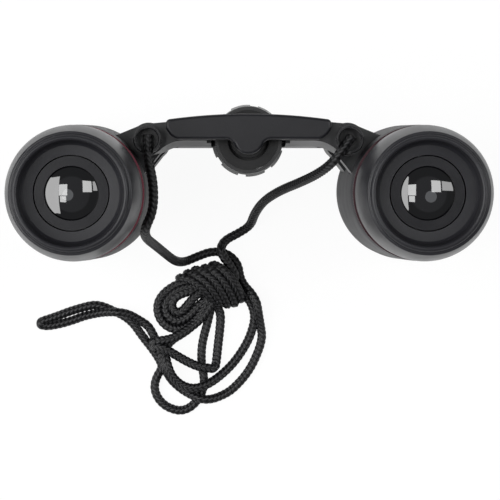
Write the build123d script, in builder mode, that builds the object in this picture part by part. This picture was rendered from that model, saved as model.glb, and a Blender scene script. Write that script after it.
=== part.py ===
"""Compact folding roof-prism binoculars with a central focus wheel and a neck cord.

The binoculars stand on their two objective rims with the eyepieces up.
+X is to the right, +Y runs from the barrels towards the bridge, +Z is up.
"""

from build123d import *
import math
import os

# Layout of the axes, in millimetres
AXIS_SPREAD = 90.0  # between the two barrel axes with the barrels swung right out
HINGE_SPREAD = 53.0  # between the two hinge axes on the bridge
HINGE_RISE = 14.0  # hinge and focus axes above the barrel axes, along Y

# Fits between pieces
RUNNING = 0.06  # radial room of a shaft that turns or slides
SEAT = 0.03  # radial room of a piece that is fixed in its seat
MOVING_GAP = 0.2  # room between faces that move past each other

# Barrel: shell, rubber armour and objective bezel
BEZEL_R = 19.0
BEZEL_FLANGE = 3.0
BEZEL_OPENING_R = 13.8
BEZEL_SPIGOT = 3.0
SHELL_R = 17.2
SHELL_WALL = 1.6
SHELL_TOP = 61.0
ARMOUR_WAIST_R = 18.0
ARMOUR_LIP_R = 17.7
ARMOUR_FLARE = 9.0  # height of the straight foot of the armour
ARMOUR_SETBACK = 0.8  # from the top of the shell down to the top of the armour
ARMOUR_ROUND = 2.0  # height of the rolled top edge of the armour
ARMOUR_GAP = 0.25  # room between the armour and the hinge arms
PRISM_SEAT_Z = 27.0
PRISM_SEAT_THICK = 2.0
PRISM_SEAT_R = 11.5

# Hinges: each has, from its foot up, a barrel knuckle, a bridge ear, the yoke's gap, a knuckle and an ear
KNUCKLE_R = 4.7
ARM_FLARE = 6.6  # half width of the barrel's hinge arm where it meets the barrel
ARM_ROOT = 1.2  # how far the arm runs into the shell's wall
DRIVE_BASE = 5.0  # foot of the lower knuckle, which also houses the focus drive
LOWER_KNUCKLE_TOP = 23.8
LOWER_EAR_R = 3.8
LOWER_EAR = 6.0  # height of the lower ear
YOKE_ROOF = 42.0  # top of the yoke's gap
UPPER_EAR_R = 4.2
UPPER_EAR = 8.0  # height of the upper ear
EAR_TOP_EDGE = 4.9  # upper edge of the upper ear where it leaves the frame
EAR_SWEEP = 2.0  # how far inside the frame's end the lower edge of the ear starts to sweep out
EAR_SKIRT = 1.1  # how far the foot of the swept edge stands out from the ear's round end
EAR_HEEL_ANGLE = 70.0  # where the ear's round end starts, below the line through the hinges
EAR_SWEEP_ANGLES = (38.0, 45.0)  # where the swept edge ends at its foot and at its top
PIN_R = 2.0
TUBE_R = 2.2
TUBE_WALL = 0.9
LUG_R = 3.7  # round strap lug on top of each hinge pin
LUG_WALL = 0.85
LUG_FLOOR = 1.0
LUG_HEIGHT = 5.4
LUG_EDGE = 0.25
CORD_EXIT = {-1: 0.0, 1: -35.0}  # turn of each lug's notch from straight down, by side

# Focus drive: wheel, spindle, yoke, rods and objective cells
WHEEL_R = 9.7  # over the grip pads
GRIP_PAD_RISE = 0.5  # of the pads at the tyre's foot
GRIP_BAND = 0.9
GRIP_PADS = 8
GRIP_PAD_ANGLE = 32.0
GRIP_PHASE = 12.5  # direction of the first pad from +X, in degrees
GRIP_EDGE = 0.15  # set-back of the grip from the wheel's faces
GRIP_TAPER = 0.85  # how much smaller the tyre is at its top than at its foot
WHEEL_BASE = 44.3
WHEEL_HEIGHT = 12.4
WHEEL_RECESS_R = 5.5
WHEEL_RECESS_CORE_R = 4.65
WHEEL_RECESS_DEPTH = 3.0
SPINDLE_R = 1.8
JOURNAL_R = 1.5
CLIP_R = 2.8
CLIP_THICK = 0.7
FOCUS_TRAVEL = 2.5  # each way
YOKE_Z = 34.5
YOKE_THICK = 3.0
YOKE_EYE_R = 3.0
YOKE_NUT_R = 3.8
ROD_R = 1.2
ROD_COLLAR_R = 2.2
ROD_COLLAR = 1.0
CELL_BASE = 9.0
CELL_HEIGHT = 7.0
CELL_EYE_Z = 10.5
CELL_EYE_THICK = 3.0
CELL_EYE_R = 2.6
CELL_ARM_WIDTH = 3.4
CELL_LIP = 1.0
CAVITY_R = 2.9
DRIVE_CAP_THICK = 1.2
OBJECTIVE_LENS_R = 12.5
OBJECTIVE_EDGE = 2.0
OBJECTIVE_BULGE = 1.3

# Bridge: frame, covers and screws, measured from the line through the hinge axes
FRAME_HALF = 19.0
FRAME_TOP_EDGE = 5.2
FRAME_BOTTOM_EDGE = -1.7
FRAME_BEVEL = 1.5  # set-back of the upper part of the front wall at its top
FRAME_WALL = 1.2
FRAME_BOSS_R = 5.6
DECK_THICK = 3.0  # of the frame's deck above the wheel's window
WINDOW_R = 9.95
DECK_CUT_HALF = 11.0  # cut in the front of the deck, which bares the wheel
DECK_CUT_DEPTH = 1.6
DECK_CUT_HEIGHT = 3.7
BEARING_R = 3.5  # boss round the spindle's upper bearing
COVER_THICK = 4.0
COVER_HALF = 21.7
COVER_TOP_EDGE = 6.75
COVER_END_EDGE = 5.2
COVER_CORNER = 1.2
COVER_FOOT_HALF = 18.6
COVER_SHOULDER = 3.0
COVER_SHOULDER_ROUND = 0.6
COVER_CHEEK = 0.45  # how far the rounded lower corners stand out from a straight slant
COVER_BULGE_R = 3.95
COVER_BULGE_FILLET = 2.4
COVER_ROUND = 0.8
PLUG_THICK = 2.0
SCREW_X = 14.8
SCREW_RISE = 2.4
SCREW_R = 0.95
SCREW_HEAD_R = 1.9
SCREW_HEAD = 1.5
SCREW_BITE = 2.5

# Prisms
PRISM_HALF_X = 10.0
PRISM_HALF_Y = 9.0
PRISM_HEIGHT = 22.0
PRISM_LOW_JOIN = 6.0
PRISM_HIGH_JOIN = 18.0
PRISM_AIR_GAP = 0.3
PRISM_CAGE_HEIGHT = 24.0

# Eyepieces
COLLAR_R = 17.2
COLLAR_TOP = 72.0
COLLAR_SPIGOT = 4.0
CUP_SPIGOT_R = 13.9
CUP_SPIGOT = 8.0
ACCENT_Z = 62.6
ACCENT_HEIGHT = 1.2
ACCENT_DEPTH = 0.7
ACCENT_PROUD = 0.5
CUP_R = 17.5
CUP_SKIRT = 3.0
CUP_TOP = 91.5
CUP_RIM_R = 15.5  # outer edge of the rim
CUP_RIM_DROP = 0.9  # outer edge of the rim below the bead
CUP_RIM_ROUND = 0.45
CUP_BEAD_R = 14.0  # middle of the bead round the mouth
CUP_BEAD = 0.7  # radius of the bead itself
CUP_GROOVE = 0.2  # depth of the groove between the bead and the outer edge
CUP_BELLY_R = 16.85
CUP_BELLY_Z = 84.5
CUP_FLOOR_Z = 86.5
CUP_FLOOR_R = 9.7
CUP_BOWL_R = 13.1  # foot of the bowl's steep wall
CUP_BOWL_DROP = 1.9  # foot of the bowl's steep wall below the bead
CUP_DISH_R = 12.2  # inner end of the round between wall and floor
CUP_DISH_RISE = 0.15
CUP_DISH_SAG = 0.45
OCULAR_R = 9.4
OCULAR_BASE = 62.0
OCULAR_TOP = 86.2
OCULAR_BORE_R = 8.2
OCULAR_APERTURE_R = 6.95
OCULAR_LIP = 0.6
EYE_LENS_THICK = 4.5
EYE_LENS_DOME = 1.3
EYE_LENS_ROOT = 0.5  # how far the dome runs down into the lens body
FIELD_LENS_EDGE = 2.0
FIELD_LENS_BULGE = 1.0
FIELD_LENS_INSET = 1.5  # from the foot of the ocular cell

# Neck cord: points chosen by hand along the lay of the cord
CORD_R = 1.35
CORD_BEND_SHARE = 0.45  # part of the shorter run that a bend takes up
TAIL_R = 2.6  # the doubled end of the cord
LEFT_RUN = [
    (-26.5, 12.9, 62.65),
    (-26.5, 7.0, 62.8),
    (-24.9, 0.0, 62.9),
    (-25.0, -7.0, 62.5),
    (-27.4, -12.0, 60.5),
    (-27.3, -14.4, 53.0),
    (-25.3, -16.6, 39.0),
    (-22.6, -19.6, 23.5),
    (-20.4, -22.0, 9.5),
    (-17.9, -22.6, 2.2),
    (-14.0, -20.9, 1.4),
    (-9.9, -19.4, 1.4),
    (-5.6, -19.9, 1.4),
    (-2.4, -22.9, 1.4),
    (-1.4, -26.9, 1.5),
]
RIGHT_RUN = [
    (27.1, 12.5, 62.65),
    (24.2, 8.3, 62.7),
    (21.4, 4.9, 60.3),
    (18.2, 2.5, 53.5),
    (14.1, 0.4, 44.0),
    (9.0, -1.8, 32.0),
    (4.6, -4.8, 20.0),
    (2.2, -8.6, 9.5),
    (1.2, -12.0, 2.8),
    (-2.2, -14.2, 1.5),
    (-6.2, -16.2, 2.2),
    (-7.5, -18.6, 4.2),
    (-6.6, -21.0, 4.4),
    (-4.6, -23.5, 4.2),
    (-3.2, -26.6, 4.4),
]
TAIL_RUN = [
    (-25.0, -47.5, 2.6),
    (-28.6, -43.0, 2.6),
    (-32.8, -38.8, 2.6),
    (-38.6, -36.6, 2.6),
    (-45.0, -36.8, 2.6),
    (-51.2, -38.4, 2.6),
    (-57.0, -40.3, 2.6),
]
HANK_LUMP = (-11.5, -33.5)  # centre of the knotted turns
HANK_LUMP_RADII = (14.0, 10.5)
HANK_LUMP_HEIGHT = 8.0
HANK_LOOP = (-10.8, -47.5)  # centre of the loose outer loops
HANK_LOOP_RADII = (15.6, 16.8)
HANK_LOOP_BAND = 5.5
HANK_LOOP_HEIGHT = 5.4
HANK_ROUND = 2.4

# Worked out from the sizes above
BARREL_X = AXIS_SPREAD / 2
HINGE_X = HINGE_SPREAD / 2
BARREL_Y = (BEZEL_R - HINGE_RISE - WHEEL_R) / 2  # the box over the object is centred on Y
HINGE_Y = BARREL_Y + HINGE_RISE
HINGE_REACH = math.hypot(BARREL_X - HINGE_X, HINGE_RISE)
SHELL_BORE_R = SHELL_R - SHELL_WALL
SHELL_BASE = BEZEL_FLANGE
ARMOUR_TOP = SHELL_TOP - ARMOUR_SETBACK
BRIDGE_BASE = LOWER_KNUCKLE_TOP + MOVING_GAP
LOWER_EAR_TOP = BRIDGE_BASE + LOWER_EAR
GRIP_GAP_R = WHEEL_R - GRIP_PAD_RISE
WHEEL_CORE_R = WHEEL_R - GRIP_TAPER - GRIP_BAND
WHEEL_TOP = WHEEL_BASE + WHEEL_HEIGHT
WINDOW_BASE = WHEEL_BASE - 1.5 * MOVING_GAP
WINDOW_TOP = WHEEL_TOP + 1.5 * MOVING_GAP
DECK_TOP = WINDOW_TOP + DECK_THICK
UPPER_EAR_BASE = DECK_TOP - UPPER_EAR
UPPER_KNUCKLE_BASE = YOKE_ROOF + MOVING_GAP
UPPER_KNUCKLE_TOP = UPPER_EAR_BASE - MOVING_GAP
CAVITY_TOP = CELL_EYE_Z + CELL_EYE_THICK + ROD_COLLAR + FOCUS_TRAVEL + 3 * MOVING_GAP
COLLAR_BASE = SHELL_TOP + MOVING_GAP
FIELD_LENS_Z = OCULAR_BASE + FIELD_LENS_INSET
CELL_R = SHELL_BORE_R - MOVING_GAP

SIDES = {"left": -1, "right": 1}


def barrel_plane(side, z):
    """Level plane at height z, centred on a barrel's axis."""
    return Plane((side * BARREL_X, BARREL_Y, z))


def hinge_plane(side, z):
    """Level plane at height z, centred on a hinge's axis."""
    return Plane((side * HINGE_X, HINGE_Y, z))


def arm_plane(side, z):
    """Level plane at height z on a hinge's axis, with x pointing at the barrel's axis."""
    reach = (side * (BARREL_X - HINGE_X), -HINGE_RISE, 0)
    return Plane((side * HINGE_X, HINGE_Y, z), x_dir=reach, z_dir=(0, 0, 1))


def bridge_plane(z):
    """Level plane at height z, centred on the focus axis."""
    return Plane((0, HINGE_Y, z))


def barrel_axis(side):
    """Optical axis of a barrel."""
    return Axis((side * BARREL_X, BARREL_Y, 0), (0, 0, 1))


def ring(plane, outer, inner=0.0):
    """Disc, or ring where it has an inner radius."""
    with BuildSketch(plane) as sketch:
        Circle(outer)
        if inner:
            Circle(inner, mode=Mode.SUBTRACT)
    return sketch.sketch


def turned_profile(side, points):
    """Closed profile of radius and height pairs, ready to revolve about a barrel's axis."""
    plane = Plane((side * BARREL_X, BARREL_Y, 0), x_dir=(1, 0, 0), z_dir=(0, -1, 0))
    with BuildSketch(plane) as sketch:
        with BuildLine():
            Polyline(*points, close=True)
        make_face()
    return sketch.sketch


def lens_profile(side, radius, base, edge, lower_bulge, upper_bulge):
    """Half section of a lens with a straight edge and two spherical faces."""
    plane = Plane((side * BARREL_X, BARREL_Y, 0), x_dir=(1, 0, 0), z_dir=(0, -1, 0))
    with BuildSketch(plane) as sketch:
        with BuildLine():
            SagittaArc((-radius, base), (radius, base), -lower_bulge)
            Line((radius, base), (radius, base + edge))
            SagittaArc((radius, base + edge), (-radius, base + edge), -upper_bulge)
            Line((-radius, base + edge), (-radius, base))
        make_face()
        with Locations((-radius, base + edge / 2)):
            Rectangle(2 * radius, 6 * radius, mode=Mode.SUBTRACT)
    return sketch.sketch


def arm_profile(plane, margin=0.0):
    """Knuckle and flared arm of a barrel, seen along the hinge, grown by a margin."""
    root = HINGE_REACH - SHELL_R + ARM_ROOT
    with BuildSketch(plane) as sketch:
        Circle(KNUCKLE_R + margin)
        with BuildLine():
            Polyline(
                (0, KNUCKLE_R + margin),
                (root, ARM_FLARE + margin),
                (root, -ARM_FLARE - margin),
                (0, -KNUCKLE_R - margin),
                close=True,
            )
        make_face()
    return sketch.sketch


def barrel_shell(side):
    """Moulded barrel tube with its two hinge arms and the housing of the focus drive."""
    with BuildPart() as shell:
        extrude(ring(barrel_plane(side, SHELL_BASE), SHELL_R), amount=SHELL_TOP - SHELL_BASE)
        extrude(arm_profile(arm_plane(side, DRIVE_BASE)), amount=LOWER_KNUCKLE_TOP - DRIVE_BASE)
        extrude(
            arm_profile(arm_plane(side, UPPER_KNUCKLE_BASE)),
            amount=UPPER_KNUCKLE_TOP - UPPER_KNUCKLE_BASE,
        )
        # Inside of the tube, with the ledge that the prism cage stands on
        extrude(
            ring(barrel_plane(side, SHELL_BASE), SHELL_BORE_R),
            amount=SHELL_TOP - SHELL_BASE,
            mode=Mode.SUBTRACT,
        )
        extrude(
            ring(barrel_plane(side, PRISM_SEAT_Z), SHELL_R - SHELL_WALL / 2, PRISM_SEAT_R),
            amount=PRISM_SEAT_THICK,
        )
        # Hinge bores
        extrude(
            ring(hinge_plane(side, UPPER_KNUCKLE_BASE), PIN_R + RUNNING),
            amount=UPPER_KNUCKLE_TOP - UPPER_KNUCKLE_BASE,
            mode=Mode.SUBTRACT,
        )
        extrude(
            ring(hinge_plane(side, DRIVE_BASE), TUBE_R + RUNNING),
            amount=LOWER_KNUCKLE_TOP - DRIVE_BASE,
            mode=Mode.SUBTRACT,
        )
        # Chamber of the drive rod and the slot that the objective cell's arm passes
        extrude(
            ring(hinge_plane(side, DRIVE_BASE), CAVITY_R),
            amount=CAVITY_TOP - DRIVE_BASE,
            mode=Mode.SUBTRACT,
        )
        slot_base = CELL_EYE_Z - FOCUS_TRAVEL - 2 * MOVING_GAP
        slot_top = CELL_EYE_Z + CELL_EYE_THICK + FOCUS_TRAVEL + 2 * MOVING_GAP
        slot_length = HINGE_REACH - SHELL_BORE_R + SHELL_WALL
        with BuildSketch(arm_plane(side, slot_base)):
            with Locations((slot_length / 2, 0)):
                Rectangle(slot_length, CELL_ARM_WIDTH + 3 * MOVING_GAP)
        extrude(amount=slot_top - slot_base, mode=Mode.SUBTRACT)
    return shell.part


def barrel_armour(side):
    """Rubber sleeve around the shell, cut out around the hinge arms."""
    with BuildPart() as armour:
        revolve(
            turned_profile(
                side,
                [
                    (SHELL_R + SEAT, BEZEL_FLANGE),
                    (BEZEL_R, BEZEL_FLANGE),
                    (BEZEL_R, BEZEL_FLANGE + ARMOUR_FLARE),
                    (ARMOUR_WAIST_R, ARMOUR_TOP - ARMOUR_ROUND),
                    (ARMOUR_LIP_R, ARMOUR_TOP),
                    (SHELL_R + SEAT, ARMOUR_TOP),
                ],
            ),
            axis=barrel_axis(side),
        )
        for base, end in (
            (DRIVE_BASE, LOWER_KNUCKLE_TOP),
            (UPPER_KNUCKLE_BASE, UPPER_KNUCKLE_TOP),
        ):
            extrude(
                arm_profile(arm_plane(side, base - ARMOUR_GAP), ARMOUR_GAP),
                amount=end - base + 2 * ARMOUR_GAP,
                mode=Mode.SUBTRACT,
            )
    return armour.part


def objective_bezel(side):
    """Screwed ring at the objective end, whose rim the binoculars stand on."""
    spigot_r = SHELL_BORE_R - SEAT
    with BuildPart() as bezel:
        extrude(ring(barrel_plane(side, 0), BEZEL_R), amount=BEZEL_FLANGE)
        extrude(ring(barrel_plane(side, BEZEL_FLANGE), spigot_r), amount=BEZEL_SPIGOT)
        extrude(
            ring(barrel_plane(side, 0), BEZEL_OPENING_R),
            amount=BEZEL_FLANGE + BEZEL_SPIGOT,
            mode=Mode.SUBTRACT,
        )
        rim = bezel.edges().filter_by(GeomType.CIRCLE).group_by(Axis.Z)[0]
        chamfer(rim.sort_by(SortBy.RADIUS)[-1], BEZEL_FLANGE / 4)
    return bezel.part


def objective_cell(side):
    """Sliding lens cell, with an arm that reaches out to the drive rod."""
    with BuildPart() as cell:
        extrude(ring(barrel_plane(side, CELL_BASE), CELL_R), amount=CELL_HEIGHT)
        arm_length = HINGE_REACH - CELL_R + CELL_LIP
        with BuildSketch(arm_plane(side, CELL_EYE_Z)):
            Circle(CELL_EYE_R)
            with Locations((arm_length / 2, 0)):
                Rectangle(arm_length, CELL_ARM_WIDTH)
        extrude(amount=CELL_EYE_THICK)
        extrude(
            ring(hinge_plane(side, CELL_EYE_Z), ROD_R + RUNNING),
            amount=CELL_EYE_THICK,
            mode=Mode.SUBTRACT,
        )
        # Lens seat from below, with a lip above the lens
        extrude(
            ring(barrel_plane(side, CELL_BASE), OBJECTIVE_LENS_R + SEAT),
            amount=CELL_HEIGHT - CELL_LIP,
            mode=Mode.SUBTRACT,
        )
        extrude(
            ring(barrel_plane(side, CELL_BASE), OBJECTIVE_LENS_R - CELL_LIP),
            amount=CELL_HEIGHT,
            mode=Mode.SUBTRACT,
        )
    return cell.part


def objective_lens(side):
    """Biconvex objective with a flat border, which lies against the lip of its cell."""
    base = CELL_BASE + CELL_HEIGHT - CELL_LIP - OBJECTIVE_EDGE
    dome_r = OBJECTIVE_LENS_R - CELL_LIP - SEAT
    with BuildPart() as lens:
        extrude(ring(barrel_plane(side, base), OBJECTIVE_LENS_R), amount=OBJECTIVE_EDGE)
        revolve(
            lens_profile(side, dome_r, base, OBJECTIVE_EDGE, OBJECTIVE_BULGE, OBJECTIVE_BULGE),
            axis=barrel_axis(side),
        )
    return lens.part


def objective_retainer(side):
    """Threaded ring that holds the objective up in its cell."""
    lens_base = CELL_BASE + CELL_HEIGHT - CELL_LIP - OBJECTIVE_EDGE
    with BuildPart() as retainer:
        extrude(
            ring(
                barrel_plane(side, CELL_BASE),
                OBJECTIVE_LENS_R,
                OBJECTIVE_LENS_R - CELL_LIP,
            ),
            amount=lens_base - CELL_BASE,
        )
    return retainer.part


def prism_cage(side):
    """Round cage with a square well, standing on the shell's ledge."""
    base = PRISM_SEAT_Z + PRISM_SEAT_THICK
    with BuildPart() as cage:
        extrude(ring(barrel_plane(side, base), SHELL_BORE_R - SEAT), amount=PRISM_CAGE_HEIGHT)
        with BuildSketch(barrel_plane(side, base)):
            Rectangle(2 * (PRISM_HALF_X + SEAT), 2 * (PRISM_HALF_Y + SEAT))
        extrude(amount=PRISM_CAGE_HEIGHT, mode=Mode.SUBTRACT)
    return cage.part


def roof_prism(side):
    """The two glass blocks of a roof prism, with a thin slanted air gap between them."""
    base = PRISM_SEAT_Z + PRISM_SEAT_THICK
    plane = Plane((side * BARREL_X, BARREL_Y, base), x_dir=(1, 0, 0), z_dir=(0, -1, 0))
    lower = [
        (-PRISM_HALF_X, 0),
        (PRISM_HALF_X, 0),
        (PRISM_HALF_X, PRISM_LOW_JOIN),
        (-PRISM_HALF_X, PRISM_HIGH_JOIN),
    ]
    upper = [
        (-PRISM_HALF_X, PRISM_HIGH_JOIN + PRISM_AIR_GAP),
        (PRISM_HALF_X, PRISM_LOW_JOIN + PRISM_AIR_GAP),
        (PRISM_HALF_X, PRISM_HEIGHT),
        (-PRISM_HALF_X, PRISM_HEIGHT),
    ]
    with BuildPart() as prism:
        for outline in (lower, upper):
            with BuildSketch(plane):
                with BuildLine():
                    Polyline(*outline, close=True)
                make_face()
            extrude(amount=PRISM_HALF_Y, both=True)
    return prism.part


def eyepiece_collar(side):
    """Collar between barrel and eyecup, grooved for the accent ring."""
    groove_r = COLLAR_R - ACCENT_DEPTH
    bore_r = OCULAR_R + 2 * RUNNING
    with BuildPart() as collar:
        revolve(
            turned_profile(
                side,
                [
                    (bore_r, COLLAR_BASE - COLLAR_SPIGOT),
                    (SHELL_BORE_R - RUNNING, COLLAR_BASE - COLLAR_SPIGOT),
                    (SHELL_BORE_R - RUNNING, COLLAR_BASE),
                    (COLLAR_R, COLLAR_BASE),
                    (COLLAR_R, ACCENT_Z),
                    (groove_r, ACCENT_Z),
                    (groove_r, ACCENT_Z + ACCENT_HEIGHT),
                    (COLLAR_R, ACCENT_Z + ACCENT_HEIGHT),
                    (COLLAR_R, COLLAR_TOP),
                    (CUP_SPIGOT_R, COLLAR_TOP),
                    (CUP_SPIGOT_R, COLLAR_TOP + CUP_SPIGOT),
                    (bore_r, COLLAR_TOP + CUP_SPIGOT),
                ],
            ),
            axis=barrel_axis(side),
        )
    return collar.part


def accent_ring(side):
    """Thin coloured ring in the collar's groove."""
    with BuildPart() as accent:
        extrude(
            ring(
                barrel_plane(side, ACCENT_Z + SEAT),
                COLLAR_R + ACCENT_PROUD,
                COLLAR_R - ACCENT_DEPTH + SEAT,
            ),
            amount=ACCENT_HEIGHT - 2 * SEAT,
        )
    return accent.part


def eyecup(side):
    """Soft rubber cup with a bellied wall, a grooved rim with a bead round the mouth, and a shallow bowl."""
    plane = Plane((side * BARREL_X, BARREL_Y, 0), x_dir=(1, 0, 0), z_dir=(0, -1, 0))
    spigot_top = COLLAR_TOP + CUP_SPIGOT + SEAT
    bore_r = CUP_SPIGOT_R + SEAT
    bead_z = CUP_TOP - CUP_BEAD
    rim = (CUP_RIM_R, CUP_TOP - CUP_RIM_DROP)
    bead_outside = (CUP_BEAD_R + CUP_BEAD, bead_z)
    bead_inside = (CUP_BEAD_R - CUP_BEAD, bead_z)
    bowl = (CUP_BOWL_R, CUP_TOP - CUP_BOWL_DROP)
    dish = (CUP_DISH_R, CUP_FLOOR_Z + CUP_DISH_RISE)
    with BuildPart() as cup:
        with BuildSketch(plane) as section:
            with BuildLine():
                Polyline(
                    (CUP_FLOOR_R, spigot_top),
                    (bore_r, spigot_top),
                    (bore_r, COLLAR_TOP),
                    (CUP_R, COLLAR_TOP),
                    (CUP_R, COLLAR_TOP + CUP_SKIRT),
                )
                ThreePointArc((CUP_R, COLLAR_TOP + CUP_SKIRT), (CUP_BELLY_R, CUP_BELLY_Z), rim)
                SagittaArc(rim, bead_outside, CUP_GROOVE)
                ThreePointArc(bead_outside, (CUP_BEAD_R, CUP_TOP), bead_inside)
                Line(bead_inside, bowl)
                SagittaArc(bowl, dish, CUP_DISH_SAG)
                Polyline(dish, (CUP_FLOOR_R, CUP_FLOOR_Z), (CUP_FLOOR_R, spigot_top))
            make_face()
            fillet(section.vertices().filter_by(lambda v: abs(v.X - CUP_RIM_R) < SEAT), CUP_RIM_ROUND)
        revolve(axis=barrel_axis(side))
    return cup.part


def ocular_cell(side):
    """Tube that carries the eyepiece lenses, with a flat ring around the aperture."""
    with BuildPart() as cell:
        extrude(ring(barrel_plane(side, OCULAR_BASE), OCULAR_R), amount=OCULAR_TOP - OCULAR_BASE)
        extrude(
            ring(barrel_plane(side, OCULAR_BASE), OCULAR_BORE_R),
            amount=OCULAR_TOP - OCULAR_LIP - OCULAR_BASE,
            mode=Mode.SUBTRACT,
        )
        extrude(
            ring(barrel_plane(side, OCULAR_BASE), OCULAR_APERTURE_R),
            amount=OCULAR_TOP - OCULAR_BASE,
            mode=Mode.SUBTRACT,
        )
    return cell.part


def eye_lens(side):
    """Lens that the eye looks into, its dome standing up into the aperture."""
    shoulder = OCULAR_TOP - OCULAR_LIP
    with BuildPart() as lens:
        extrude(
            ring(barrel_plane(side, shoulder - EYE_LENS_THICK), OCULAR_BORE_R - SEAT),
            amount=EYE_LENS_THICK,
        )
        revolve(
            lens_profile(
                side, OCULAR_APERTURE_R - SEAT, shoulder - SEAT, SEAT, EYE_LENS_ROOT, EYE_LENS_DOME
            ),
            axis=barrel_axis(side),
        )
    return lens.part


def field_lens(side):
    """Lower lens of the eyepiece."""
    with BuildPart() as lens:
        revolve(
            lens_profile(
                side,
                OCULAR_BORE_R - SEAT,
                FIELD_LENS_Z,
                FIELD_LENS_EDGE,
                FIELD_LENS_BULGE,
                FIELD_LENS_BULGE,
            ),
            axis=barrel_axis(side),
        )
    return lens.part


def drive_cap(side):
    """Plug that closes the foot of the drive housing."""
    with BuildPart() as cap:
        extrude(ring(hinge_plane(side, DRIVE_BASE), CAVITY_R - SEAT), amount=DRIVE_CAP_THICK)
    return cap.part


def hinge_pin(side):
    """Upper hinge pin, headed by the round strap lug that the cord leaves through."""
    exit_turn = math.radians(CORD_EXIT[side])
    exit_way = (math.sin(exit_turn), -math.cos(exit_turn), 0)
    notch_plane = Plane((side * HINGE_X, HINGE_Y, DECK_TOP + LUG_FLOOR), x_dir=exit_way, z_dir=(0, 0, 1))
    with BuildPart() as pin:
        extrude(ring(hinge_plane(side, UPPER_KNUCKLE_BASE), PIN_R), amount=DECK_TOP - UPPER_KNUCKLE_BASE)
        extrude(ring(hinge_plane(side, DECK_TOP), LUG_R), amount=LUG_HEIGHT)
        extrude(
            ring(hinge_plane(side, DECK_TOP + LUG_FLOOR), LUG_R - LUG_WALL),
            amount=LUG_HEIGHT,
            mode=Mode.SUBTRACT,
        )
        chamfer(pin.edges().filter_by(GeomType.CIRCLE).group_by(Axis.Z)[-1], LUG_EDGE)
        with BuildSketch(notch_plane):
            with Locations((LUG_R / 2, 0)):
                Rectangle(LUG_R, 2 * CORD_R + 2 * MOVING_GAP)
        extrude(amount=LUG_HEIGHT, mode=Mode.SUBTRACT)
    return pin.part


def hinge_tube(side):
    """Lower hinge pin, hollow so that the drive rod runs through it."""
    with BuildPart() as tube:
        extrude(
            ring(hinge_plane(side, CAVITY_TOP), TUBE_R, TUBE_R - TUBE_WALL),
            amount=LOWER_EAR_TOP - CAVITY_TOP,
        )
    return tube.part


def drive_rod(side):
    """Rod from the yoke down to the objective cell, with a collar each side of its eye."""
    eye_top = CELL_EYE_Z + CELL_EYE_THICK
    rod_base = CELL_EYE_Z - MOVING_GAP / 2 - ROD_COLLAR
    with BuildPart() as rod:
        extrude(ring(hinge_plane(side, rod_base), ROD_R), amount=YOKE_Z + YOKE_THICK - rod_base)
        for base in (rod_base, eye_top + MOVING_GAP / 2):
            extrude(ring(hinge_plane(side, base), ROD_COLLAR_R), amount=ROD_COLLAR)
    return rod.part


def lower_ear(side):
    """Lower ear of the bridge, seen along the hinge."""
    with BuildSketch(bridge_plane(BRIDGE_BASE)) as sketch:
        with BuildLine():
            Polyline(
                (side * (FRAME_HALF - FRAME_WALL), FRAME_BOTTOM_EDGE),
                (side * (FRAME_HALF - FRAME_WALL), FRAME_TOP_EDGE),
                (side * HINGE_X, LOWER_EAR_R),
                (side * HINGE_X, -LOWER_EAR_R),
                (side * (HINGE_X - LOWER_EAR_R), FRAME_BOTTOM_EDGE),
                close=True,
            )
        make_face()
        with Locations((side * HINGE_X, 0)):
            Circle(LOWER_EAR_R)
    return sketch.sketch


def round_hinge(side, radius, angle):
    """Point at a radius round the hinge, at an angle below the line to the frame."""
    turn = math.radians(angle)
    return (side * (HINGE_X - radius * math.cos(turn)), -radius * math.sin(turn))


def upper_ear(side, z, front_edge, sweep_r, sweep_angle):
    """Upper ear at height z, its front edge sweeping from the frame out to the round end at the hinge."""
    root = side * (FRAME_HALF - EAR_SWEEP)
    sweep_start = (root, front_edge)
    sweep_end = round_hinge(side, sweep_r, sweep_angle)
    heel = round_hinge(side, UPPER_EAR_R, EAR_HEEL_ANGLE)
    tip = round_hinge(side, UPPER_EAR_R, 180)
    crown = round_hinge(side, UPPER_EAR_R, -90)
    with BuildSketch(bridge_plane(z)) as sketch:
        with BuildLine():
            TangentArc(sweep_start, sweep_end, tangent=(side, 0))
            Line(sweep_end, heel)
            ThreePointArc(heel, tip, crown)
            Polyline(crown, (side * FRAME_HALF, EAR_TOP_EDGE), (root, EAR_TOP_EDGE), sweep_start)
        make_face()
    return sketch.sketch


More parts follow.
